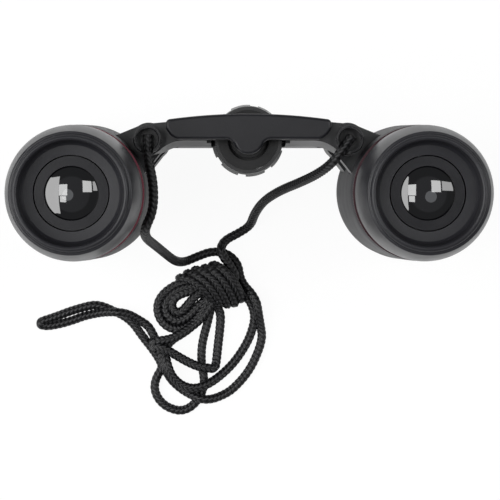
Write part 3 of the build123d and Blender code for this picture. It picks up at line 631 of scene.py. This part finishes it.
# Rubber skin from a grained mould: a dull dark grey without clear highlights.
ARMOUR_RUBBER = MouldedFinish(
    "moulded_rubber_armour",
    deep="#202023",
    pale="#2b2b2e",
    roughness=(0.5, 0.6),
    ior=1.46,
    grain_mm=0.9,
    grain_depth_mm=0.1,
    drift_mm=8.0,
)
# ABS from a smooth mould: black with a clear soft shine along the edges.
SHELL_ABS = MouldedFinish(
    "moulded_abs_shell",
    deep="#18191b",
    pale="#212224",
    roughness=(0.28, 0.36),
    ior=1.54,
    grain_mm=0.5,
    grain_depth_mm=0.02,
    drift_mm=10.0,
)
# ABS from a spark-eroded mould: an even, matt grey-black without sharp highlights.
COVER_ABS = MouldedFinish(
    "spark_textured_abs_cover",
    deep="#0f0f13",
    pale="#17171b",
    roughness=(0.36, 0.46),
    ior=1.37,
    grain_mm=0.5,
    grain_depth_mm=0.04,
    drift_mm=12.0,
)
# ABS from a smooth mould: satin black that picks up the paper's light on upright walls.
FRAME_ABS = MouldedFinish(
    "moulded_abs_bridge",
    deep="#161618",
    pale="#202022",
    roughness=(0.26, 0.34),
    ior=1.54,
    grain_mm=0.6,
    grain_depth_mm=0.02,
    drift_mm=9.0,
)
# ABS from a smooth mould, the darkest of the plastics: a deep black disc with little gloss.
WHEEL_ABS = MouldedFinish(
    "moulded_abs_wheel",
    deep="#060607",
    pale="#0c0c0e",
    roughness=(0.34, 0.44),
    ior=1.38,
    grain_mm=0.5,
    grain_depth_mm=0.02,
    drift_mm=6.0,
)
# Rubber tyre from a mould: black pads whose worn edges catch a dull light.
GRIP_RUBBER = MouldedFinish(
    "moulded_rubber_grip",
    deep="#0d0d0f",
    pale="#161618",
    roughness=(0.36, 0.46),
    ior=1.5,
    grain_mm=0.5,
    grain_depth_mm=0.03,
    drift_mm=5.0,
)
# ABS polished by the cord's rubbing: black with the tightest highlights of the bridge.
LUG_ABS = MouldedFinish(
    "polished_abs_lug",
    deep="#121214",
    pale="#1a1a1c",
    roughness=(0.2, 0.28),
    ior=1.54,
    grain_mm=0.6,
    grain_depth_mm=0.01,
    drift_mm=5.0,
)
# Matt ABS round the eye lens: a flat dark ring that keeps stray light out of the eye.
OCULAR_ABS = MouldedFinish(
    "matt_abs_ocular_cell",
    deep="#161619",
    pale="#1d1d20",
    roughness=(0.28, 0.34),
    ior=1.32,
    grain_mm=0.5,
    grain_depth_mm=0.02,
    drift_mm=7.0,
)
# Matt ABS inside the barrels: black with hardly any shine.
CELL_ABS = MouldedFinish(
    "matt_abs_lens_cell",
    deep="#161618",
    pale="#1f1f21",
    roughness=(0.5, 0.6),
    ior=1.54,
    grain_mm=0.5,
    grain_depth_mm=0.03,
    drift_mm=7.0,
)
# Glossy red ABS from a mould: a thin dark red line under each eyecup. The right ring is the same red,
# drawn deeper as painted shade.
ACCENT_RINGS = {
    Side.LEFT: MouldedFinish(
        "moulded_red_abs_ring",
        deep="#601429",
        pale="#781b34",
        roughness=(0.3, 0.4),
        ior=1.6,
        grain_mm=0.5,
        grain_depth_mm=0.008,
        drift_mm=6.0,
    ),
    # Painted shade: the same red ABS as the left ring, darkened as if in the shadow of its eyecup.
    Side.RIGHT: MouldedFinish(
        "moulded_red_abs_ring_painted_shade",
        deep="#260912",
        pale="#320d19",
        roughness=(0.3, 0.4),
        ior=1.46,
        grain_mm=0.5,
        grain_depth_mm=0.008,
        drift_mm=6.0,
    ),
}
# Ground and polished glass inside the barrels: clear with faint dust.
LENS_GLASS = PolishedGlass("polished_crown_glass", tint="#eef2f2", dusty="#e2e6e6", ior=1.52, dust_mm=1.2)
PRISM_GLASS = PolishedGlass("polished_prism_glass", tint="#e6ecec", dusty="#dae0e0", ior=1.57, dust_mm=1.6)
# Coated glass of the eye lenses: black mirrors with the exit pupil painted in as light, each with its own
# place of the painted pupil.
EYE_LENSES = {
    Side.LEFT: CoatedLens("coated_eye_lens_left", pupil_at=(-45.9, -2.75), field_at=(-44.9, -2.6)),
    Side.RIGHT: CoatedLens("coated_eye_lens_right", pupil_at=(45.75, -3.2), field_at=(45.2, -2.6)),
}
# Turned steel and brass: bright metal with rings from the lathe. The yoke's steel is blackened and dull.
PIN_STEEL = TurnedMetal("turned_steel", deep="#8d8f92", pale="#b4b6b9", roughness=0.28, ring_mm=0.25)
YOKE_STEEL = TurnedMetal("blackened_steel", deep="#1d1d1f", pale="#2c2c2e", roughness=0.38, ring_mm=0.3)
SPINDLE_BRASS = TurnedMetal("turned_brass", deep="#a5824a", pale="#c9a764", roughness=0.3, ring_mm=0.25)


def dress(nodes: list[str], material: bpy.types.Material) -> None:
    """Give CAD nodes one finish.

    Args:
        nodes: Names of the CAD nodes.
        material: The finish that fills all their slots.
    """
    for name in nodes:
        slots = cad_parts[name].material_slots
        for slot in slots:
            slot.material = material
        LOG.info("%s: %s", name, material.name)


@dataclass
class Barrels:
    """Both barrels: shell, armour, bezel, objective, prism and the parts of the focus drive in them."""

    sides: tuple[Side, ...] = (Side.LEFT, Side.RIGHT)
    finishes: dict[str, Finish] = field(
        default_factory=lambda: {
            "barrel_shell": SHELL_ABS,
            "barrel_armour": ARMOUR_RUBBER,
            "objective_bezel": SHELL_ABS,
            "objective_cell": CELL_ABS,
            "objective_retainer": CELL_ABS,
            "objective_lens": LENS_GLASS,
            "prism_cage": CELL_ABS,
            "roof_prism": PRISM_GLASS,
            "drive_cap": SHELL_ABS,
        }
    )

    def dress(self) -> None:
        """Give each piece of both barrels its finish."""
        for piece, finish in self.finishes.items():
            dress([f"{side.value}_{piece}" for side in self.sides], finish.material())


@dataclass
class Eyepieces:
    """Both eyepieces: collar, red ring, rubber eyecup, ocular cell and its lenses."""

    sides: tuple[Side, ...] = (Side.LEFT, Side.RIGHT)
    finishes: dict[str, Finish] = field(
        default_factory=lambda: {
            "eyepiece_collar": SHELL_ABS,
            "eyecup": EYECUP_RUBBER,
            "ocular_cell": OCULAR_ABS,
            "field_lens": LENS_GLASS,
        }
    )

    def dress(self) -> None:
        """Give each piece of both eyepieces its finish."""
        for piece, finish in self.finishes.items():
            dress([f"{side.value}_{piece}" for side in self.sides], finish.material())
        for side in self.sides:
            dress([f"{side.value}_accent_ring"], ACCENT_RINGS[side].material())
            dress([f"{side.value}_eye_lens"], EYE_LENSES[side].material())


@dataclass
class Bridge:
    """The bridge with its cover and hinges, and the focus drive that it carries."""

    finishes: dict[str, Finish] = field(
        default_factory=lambda: {
            "bridge_frame": FRAME_ABS,
            "bridge_cover": COVER_ABS,
            "bridge_plug": FRAME_ABS,
            "cover_screws": PIN_STEEL,
            "left_hinge_pin": LUG_ABS,
            "right_hinge_pin": LUG_ABS,
            "left_hinge_tube": PIN_STEEL,
            "right_hinge_tube": PIN_STEEL,
            "focus_wheel": WHEEL_ABS,
            "wheel_grip": GRIP_RUBBER,
            "focus_spindle": SPINDLE_BRASS,
            "spindle_clip": PIN_STEEL,
            "focus_yoke": YOKE_STEEL,
            "left_drive_rod": PIN_STEEL,
            "right_drive_rod": PIN_STEEL,
        }
    )

    def dress(self) -> None:
        """Give each piece of the bridge its finish."""
        for piece, finish in self.finishes.items():
            dress([piece], finish.material())


@dataclass
class NeckCord:
    """The braided neck cord, one length from the left lug to the right one.

    Sizes and points are in millimetres in the frame of the CAD model, the points chosen along the lay of
    the cord.
    The wraps of the knot are given where they pass over the bundle, and joined under it.
    The plait has fewer and longer stitches than a real one, so that they show.
    """

    diameter: float = 2.7
    length: float = 822.0
    curve_steps: int = 24
    ring_step: float = 0.22
    sides_round: int = 48
    stitches_round: int = 6
    stitch_length: float = 1.3
    stitch_slant: float = 0.9
    stitch_depth: float = 0.25
    ridge_fullness: float = 0.8
    column_fullness: float = 0.5
    seam_height: float = 0.25
    left_run: tuple[Point, ...] = (
        (-26.5, 12.9, 62.65),
        (-26.5, 7.0, 62.8),
        (-24.9, 0.0, 62.9),
        (-25.0, -7.0, 62.5),
        (-27.4, -12.0, 60.5),
        (-27.3, -14.4, 53.0),
        (-25.3, -16.6, 39.0),
        (-22.6, -19.6, 23.5),
        (-20.4, -22.0, 9.5),
        (-17.9, -22.6, 2.2),
        (-14.0, -20.9, 1.4),
        (-9.9, -19.4, 1.4),
        (-5.6, -19.9, 1.4),
        (-2.4, -22.9, 1.4),
        (-1.8, -27.0, 1.5),
    )
    outer_loop: tuple[Point, ...] = (
        (-0.5, -29.4, 1.8),
        (1.4, -31.3, 3.2),
        (3.0, -34.0, 4.0),
        (3.4, -36.5, 3.8),
        (3.8, -39.0, 2.6),
        (4.3, -41.8, 1.6),
        (4.6, -44.2, 1.4),
        (3.7, -47.9, 1.4),
        (0.9, -54.0, 1.4),
        (-3.9, -59.4, 1.4),
        (-7.5, -61.3, 2.0),
        (-10.4, -62.1, 3.4),
        (-13.3, -61.9, 4.0),
        (-16.4, -60.6, 2.2),
        (-19.2, -58.9, 1.5),
        (-21.8, -56.4, 1.8),
        (-23.3, -53.4, 3.2),
        (-24.2, -50.4, 2.6),
        (-24.9, -47.8, 1.6),
    )
    tail: tuple[Point, ...] = (
        (-25.6, -45.9, 1.4),
        (-26.8, -43.6, 1.4),
        (-28.2, -40.9, 1.4),
        (-31.3, -39.0, 1.5),
        (-34.0, -37.4, 2.8),
        (-37.0, -36.8, 4.0),
        (-40.6, -36.9, 2.4),
        (-43.6, -37.4, 1.4),
        (-46.8, -38.1, 1.4),
        (-49.7, -39.2, 1.4),
        (-52.6, -40.1, 1.4),
        (-55.3, -40.7, 1.4),
        (-57.6, -41.0, 1.5),
        (-59.4, -40.6, 1.9),
        (-59.2, -39.6, 1.9),
        (-56.8, -38.9, 1.5),
        (-53.7, -37.8, 1.4),
        (-50.8, -36.7, 1.4),
        (-48.2, -35.9, 1.4),
        (-45.6, -35.2, 1.4),
        (-43.8, -34.9, 1.4),
        (-42.0, -35.1, 1.4),
        (-39.8, -35.9, 1.4),
        (-38.2, -36.7, 1.4),
        (-35.4, -37.9, 1.4),
        (-32.5, -40.2, 1.4),
    )
    bottom_loop: tuple[Point, ...] = (
        (-30.0, -43.9, 1.4),
        (-26.7, -48.0, 1.4),
        (-24.6, -51.4, 1.4),
        (-24.3, -53.2, 1.4),
        (-26.0, -55.9, 1.4),
        (-26.6, -58.9, 1.4),
        (-25.6, -61.8, 1.4),
        (-23.5, -64.0, 1.4),
        (-21.1, -65.1, 1.4),
        (-18.8, -65.5, 1.4),
        (-16.4, -64.7, 1.4),
        (-14.4, -62.9, 1.4),
        (-13.0, -60.7, 1.4),
        (-12.1, -58.0, 1.4),
        (-12.3, -55.1, 1.4),
        (-12.9, -52.2, 1.4),
        (-12.95, -47.9, 1.4),
        (-12.4, -44.4, 1.4),
        (-11.1, -39.8, 1.5),
        (-10.0, -34.9, 1.5),
        (-9.6, -30.6, 1.4),
        (-9.7, -26.6, 1.6),
    )
    straight_run: tuple[Point, ...] = (
        (-8.4, -35.2, 2.2),
        (-7.3, -37.6, 1.5),
        (-7.6, -42.0, 1.4),
        (-8.2, -47.0, 1.4),
        (-8.6, -51.0, 1.6),
        (-9.0, -53.3, 2.8),
        (-11.6, -52.9, 3.9),
        (-13.9, -52.5, 4.2),
        (-16.8, -51.2, 4.2),
        (-19.6, -49.6, 4.4),
        (-22.5, -47.8, 5.0),
        (-24.8, -46.7, 5.2),
        (-26.8, -46.8, 4.6),
        (-26.7, -45.2, 4.6),
        (-24.5, -45.0, 4.8),
        (-21.9, -44.6, 4.5),
        (-19.6, -43.6, 4.2),
        (-17.3, -42.2, 3.6),
        (-14.2, -39.9, 2.8),
    )
    first_turns: tuple[Point, ...] = (
        (-11.6, -37.1, 3.4),
        (-9.6, -33.4, 3.9),
        (-9.9, -29.4, 3.9),
        (-12.5, -27.5, 3.8),
        (-16.5, -27.6, 3.2),
        (-21.0, -29.4, 1.8),
        (-24.3, -32.0, 1.4),
        (-25.8, -35.2, 1.4),
        (-25.0, -39.0, 1.4),
        (-22.3, -41.6, 1.4),
        (-18.8, -42.1, 1.5),
        (-15.4, -40.2, 2.0),
        (-12.7, -36.8, 3.4),
        (-11.0, -33.1, 4.1),
        (-11.6, -30.1, 4.1),
        (-14.8, -29.2, 3.8),
        (-18.8, -30.0, 3.2),
        (-21.9, -32.2, 2.4),
        (-23.5, -35.0, 2.2),
        (-22.8, -38.1, 2.2),
        (-20.0, -39.7, 2.2),
        (-17.2, -38.6, 2.6),
        (-14.6, -35.9, 3.2),
        (-12.0, -33.4, 3.8),
        (-8.4, -32.6, 3.9),
        (-5.0, -31.8, 3.6),
        (-1.4, -31.2, 2.8),
    )
    inner_loop: tuple[Point, ...] = (
        (0.7, -33.2, 2.0),
        (2.0, -35.8, 1.5),
        (2.5, -38.7, 1.4),
        (1.7, -42.3, 1.4),
        (0.2, -46.0, 1.4),
        (-2.9, -50.8, 1.4),
        (-6.1, -54.2, 1.6),
        (-9.8, -57.0, 3.2),
        (-13.3, -58.6, 4.2),
        (-16.2, -58.8, 4.4),
        (-19.1, -57.6, 4.4),
        (-21.4, -55.3, 4.8),
        (-22.6, -52.2, 5.4),
        (-23.2, -49.4, 4.0),
    )
    last_turn: tuple[Point, ...] = (
        (-23.0, -46.8, 1.8),
        (-21.1, -44.8, 1.4),
        (-18.5, -43.3, 1.4),
        (-16.1, -41.6, 1.4),
        (-13.6, -38.8, 1.6),
        (-12.0, -35.2, 2.4),
        (-11.9, -32.0, 3.4),
        (-13.9, -30.6, 3.8),
        (-17.2, -31.0, 3.8),
        (-20.4, -32.4, 3.4),
        (-21.6, -34.5, 3.2),
        (-20.9, -36.6, 3.2),
        (-18.8, -37.0, 3.4),
        (-16.9, -34.8, 4.2),
        (-14.6, -32.0, 4.8),
        (-11.6, -30.0, 4.6),
        (-7.9, -28.2, 4.3),
        (-5.0, -27.4, 4.3),
    )
    right_run: tuple[Point, ...] = (
        (-2.8, -27.2, 4.4),
        (-4.6, -23.5, 4.2),
        (-6.6, -21.0, 4.4),
        (-7.5, -18.6, 4.2),
        (-6.2, -16.2, 2.2),
        (-2.2, -14.2, 1.5),
        (1.2, -12.0, 2.8),
        (2.2, -8.6, 9.5),
        (4.6, -4.8, 20.0),
        (9.0, -1.8, 32.0),
        (14.1, 0.4, 44.0),
        (18.2, 2.5, 53.5),
        (21.4, 4.9, 60.3),
        (24.2, 8.3, 62.7),
        (27.1, 12.5, 62.65),
    )
    wraps: tuple[tuple[Point, ...], ...] = (
        (
            (-10.2, -22.9, 3.7),
            (-7.6, -23.8, 6.2),
            (-4.8, -26.4, 6.9),
            (-2.4, -30.2, 6.2),
            (-1.0, -33.6, 3.7),
        ),
        (
            (-12.6, -23.9, 3.7),
            (-9.8, -24.7, 6.4),
            (-6.9, -27.0, 7.2),
            (-4.6, -30.8, 6.4),
            (-2.9, -34.9, 3.7),
        ),
        (
            (-15.3, -24.5, 3.7),
            (-12.2, -25.1, 6.2),
            (-9.0, -27.5, 6.9),
            (-6.7, -31.2, 6.3),
            (-4.9, -35.2, 3.7),
        ),
        (
            (-17.6, -25.5, 3.6),
            (-14.4, -26.0, 6.1),
            (-11.2, -28.2, 6.8),
            (-8.8, -31.6, 6.1),
            (-7.0, -34.7, 3.7),
        ),
        (
            (-19.8, -26.9, 3.6),
            (-16.5, -27.0, 6.0),
            (-13.2, -29.0, 6.6),
            (-11.0, -31.6, 5.9),
            (-9.4, -33.8, 3.7),
        ),
    )
    wrap_low: float = 1.4
    under_shares: tuple[float, ...] = (0.15, 0.5, 0.85)

    def knot(self) -> tuple[Point, ...]:
        """Wraps of the knot, each over the bundle and back under it.

        Returns:
            Points from the upper right wrap to the lower left one.
        """
        points = list(self.wraps[0])
        for over, following in zip(self.wraps, self.wraps[1:]):
            for share in self.under_shares:
                x, y, _ = Vector(over[-1]).lerp(Vector(following[0]), share)
                points.append((x, y, self.wrap_low))
            points += following
        return tuple(points)

    def route(self) -> tuple[Point, ...]:
        """All control points from the left lug to the right one, in millimetres."""
        return (
            self.left_run
            + self.outer_loop
            + self.tail
            + self.bottom_loop
            + self.knot()
            + self.straight_run
            + self.first_turns
            + self.inner_loop
            + self.last_turn
            + self.right_run
        )

    def centreline(self) -> np.ndarray:
        """Draw the smooth curve of the route.

        Returns:
            Evenly spaced points along the curve, in metres.
        """
        points = self.route()
        curve = bpy.data.curves.new("cord_route", "CURVE")
        curve.dimensions = "3D"
        spline = curve.splines.new("NURBS")
        spline.points.add(len(points) - 1)
        for control, point in zip(spline.points, points):
            control.co = (*(value * MM for value in point), 1.0)
        spline.order_u = 3
        spline.use_endpoint_u = True
        spline.resolution_u = self.curve_steps
        holder = bpy.data.objects.new("cord_route", curve)
        mesh = bpy.data.meshes.new_from_object(holder)
        line = np.array([vertex.co for vertex in mesh.vertices])
        bpy.data.meshes.remove(mesh)
        bpy.data.objects.remove(holder)
        bpy.data.curves.remove(curve)
        along = np.concatenate([[0], np.cumsum(np.linalg.norm(np.diff(line, axis=0), axis=1))])
        count = int(along[-1] / (self.ring_step * MM)) + 1
        places = np.linspace(0, along[-1], count)
        return np.stack([np.interp(places, along, line[:, axis]) for axis in range(3)], axis=1)

    def stitch_relief(self, rings: int, pitch: float) -> np.ndarray:
        """Height of the plait over the cord's surface, from 0 in the gaps to 1 on a stitch.

        Args:
            rings: Number of rings along the cord.
            pitch: Distance between rings in metres.

        Returns:
            One row of heights for each ring.
        """
        around = np.arange(self.sides_round) / self.sides_round * self.stitches_round
        along = np.arange(rings)[:, None] * pitch / (self.stitch_length * MM)
        across = around % 1
        lean = np.where(np.floor(around) % 2 == 0, 1.0, -1.0)
        stitch = along + lean * self.stitch_slant * across
        ridge = np.abs(np.sin(np.pi * stitch)) ** self.ridge_fullness
        column = np.sin(np.pi * across) ** self.column_fullness
        return ridge * (self.seam_height + (1 - self.seam_height) * column)

    def rings(self, line: np.ndarray) -> np.ndarray:
        """Unit circles square to the cord, turned as little as possible from one to the next.

        Args:
            line: Points along the cord's middle.

        Returns:
            For each point, the directions out to the sides of its ring.
        """
        tangents = np.gradient(line, axis=0)
        tangents /= np.linalg.norm(tangents, axis=1)[:, None]
        side = np.cross(tangents[0], (0.0, 0.0, 1.0))
        side /= np.linalg.norm(side)
        sides = []
        for tangent in tangents:
            side = side - tangent * side.dot(tangent)
            side /= np.linalg.norm(side)
            sides.append(side)
        sides = np.array(sides)
        ups = np.cross(tangents, sides)
        angles = 2 * np.pi * np.arange(self.sides_round) / self.sides_round
        across = np.cos(angles)[None, :, None] * sides[:, None, :]
        upward = np.sin(angles)[None, :, None] * ups[:, None, :]
        return across + upward

    def skin(self, line: np.ndarray) -> bpy.types.Mesh:
        """Sweep the plaited surface along the cord's middle.

        Args:
            line: Points along the cord's middle.

        Returns:
            The closed surface, with the plait's height at each point.
        """
        pitch = float(np.linalg.norm(line[1] - line[0]))
        relief = self.stitch_relief(len(line), pitch)
        radius = (self.diameter / 2 - self.stitch_depth * (1 - relief)) * MM
        points = line[:, None, :] + radius[:, :, None] * self.rings(line)
        count, around = relief.shape
        faces = []
        for row in range(count - 1):
            low = row * around
            high = low + around
            for spot in range(around):
                following = (spot + 1) % around
                faces.append((low + spot, low + following, high + following, high + spot))
        faces.append(tuple(range(around))[::-1])
        faces.append(tuple((count - 1) * around + spot for spot in range(around)))
        mesh = bpy.data.meshes.new("neck_cord")
        mesh.from_pydata(points.reshape(-1, 3).tolist(), [], faces)
        heights = mesh.attributes.new("relief", "FLOAT", "POINT")
        heights.data.foreach_set("value", relief.reshape(-1).astype(np.float32))
        mesh.shade_smooth()
        return mesh

    def build(self) -> bpy.types.Object:
        """Make the cord that stands for the cord's solids.

        Returns:
            The cord, riding on the bridge.
        """
        line = self.centreline()
        cord = bpy.data.objects.new("neck_cord", self.skin(line))
        bpy.context.scene.collection.objects.link(cord)
        cord.data.materials.append(BraidedNylon().material())
        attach(cord, Body.BRIDGE.value)
        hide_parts("cord_left_run", "cord_right_run", "cord_hank", "cord_tail")
        drawn = float(np.linalg.norm(np.diff(line, axis=0), axis=1).sum())
        LOG.info("neck_cord: %.1f mm along its middle", drawn / MM)
        return cord


@dataclass
class PhotoCamera:
    """The camera at the photograph's viewpoint, high above the eyepieces and looking almost straight down.

    Places and the sensor's width are in millimetres, the focal length and the image in pixels.
    """

    place: Point = (-7.0, 0.23, 683.0)
    target: Point = (1.1, -19.1, 0.0)
    focal_px: float = 2364.6
    image_px: float = 500.0
    sensor: float = 36.0
    clip_near: float = 10.0

    def build(self) -> bpy.types.Object:
        """Make the camera the scene's own.

        Returns:
            The camera object.
        """
        data = bpy.data.cameras.new("photo_camera")
        data.sensor_width = self.sensor
        data.lens = self.focal_px / self.image_px * self.sensor
        data.clip_start = self.clip_near * MM
        camera = bpy.data.objects.new("photo_camera", data)
        camera.location = [value * MM for value in self.place]
        ahead = (Vector(self.target) - Vector(self.place)).normalized()
        right = ahead.cross(Vector((0.0, 1.0, 0.0))).normalized()
        axes = Matrix((right, right.cross(ahead), -ahead)).transposed()
        camera.rotation_euler = axes.to_euler()
        bpy.context.scene.collection.objects.link(camera)
        bpy.context.scene.camera = camera
        return camera


@dataclass(frozen=True)
class Softbox:
    """One softbox that hangs level: its place and size in metres and its power in watts."""

    name: str
    place: Pair
    size: Pair
    power: float


@dataclass
class Studio:
    """White paper sweep, a dim room and softboxes on both sides of the object, in metres."""

    flat_radius: float = 4.0
    sweep_radius: float = 6.0
    sweep_height: float = 2.5
    segments: int = 96
    curve_steps: int = 16
    room: str = "#c8cacc"
    room_strength: float = 0.24
    lamp_height: float = 1.287
    softboxes: tuple[Softbox, ...] = (
        Softbox("softbox_left", (-1.5775, -0.09), (2.045, 1.42), 47.3),
        Softbox("softbox_left_near", (-0.4, 0.11), (0.3, 0.38), 2.6),
        Softbox("softbox_left_low", (-0.4, -0.205), (0.22, 0.21), 1.02),
        Softbox("softbox_right_near", (0.44, 0.237), (0.347, 0.407), 2.88),
        Softbox("softbox_right", (1.0, 0.265), (0.66, 0.35), 3.05),
        Softbox("softbox_right_far", (2.0, 0.1), (1.2, 1.0), 22.0),
    )

    def sweep(self) -> bpy.types.Object:
        """Build the paper: flat under the object and curving up all round.

        Returns:
            The paper.
        """
        profile = [(self.flat_radius, 0.0)]
        for step in range(1, self.curve_steps + 1):
            angle = math.pi / 2 * step / self.curve_steps
            out = self.flat_radius + (self.sweep_radius - self.flat_radius) * math.sin(angle)
            profile.append((out, self.sweep_height * (1 - math.cos(angle))))
        points = [(0.0, 0.0, 0.0)]
        for out, up in profile:
            for step in range(self.segments):
                angle = 2 * math.pi * step / self.segments
                points.append((out * math.cos(angle), out * math.sin(angle), up))
        faces = []
        for spot in range(self.segments):
            following = (spot + 1) % self.segments
            faces.append((0, 1 + spot, 1 + following))
            for row in range(len(profile) - 1):
                low = 1 + row * self.segments
                high = low + self.segments
                faces.append((low + spot, high + spot, high + following, low + following))
        mesh = bpy.data.meshes.new("paper_sweep")
        mesh.from_pydata(points, [], faces)
        mesh.shade_smooth()
        paper = bpy.data.objects.new("paper_sweep", mesh)
        paper.data.materials.append(StudioPaper().material())
        bpy.context.scene.collection.objects.link(paper)
        return paper

    def light(self) -> None:
        """Add the room's dim light and the softboxes."""
        world = bpy.data.worlds.new("studio_room")
        world.use_nodes = True
        back = world.node_tree.nodes["Background"]
        back.inputs["Color"].default_value = linear(self.room)
        back.inputs["Strength"].default_value = self.room_strength
        bpy.context.scene.world = world
        for box in self.softboxes:
            data = bpy.data.lights.new(box.name, "AREA")
            data.shape = "RECTANGLE"
            data.size, data.size_y = box.size
            data.energy = box.power
            lamp = bpy.data.objects.new(box.name, data)
            lamp.location = (*box.place, self.lamp_height)
            bpy.context.scene.collection.objects.link(lamp)

    def build(self) -> None:
        """Set the stage and its light."""
        self.sweep()
        self.light()
        bpy.context.scene.view_settings.view_transform = "Standard"


def main() -> None:
    """Build every class in order and report each piece."""
    logging.basicConfig(level=logging.INFO, format="%(name)s: %(message)s")
    PhotoCamera().build()
    NeckCord().build()
    Barrels().dress()
    Eyepieces().dress()
    Bridge().dress()
    Studio().build()


if __name__ == "__main__":
    main()
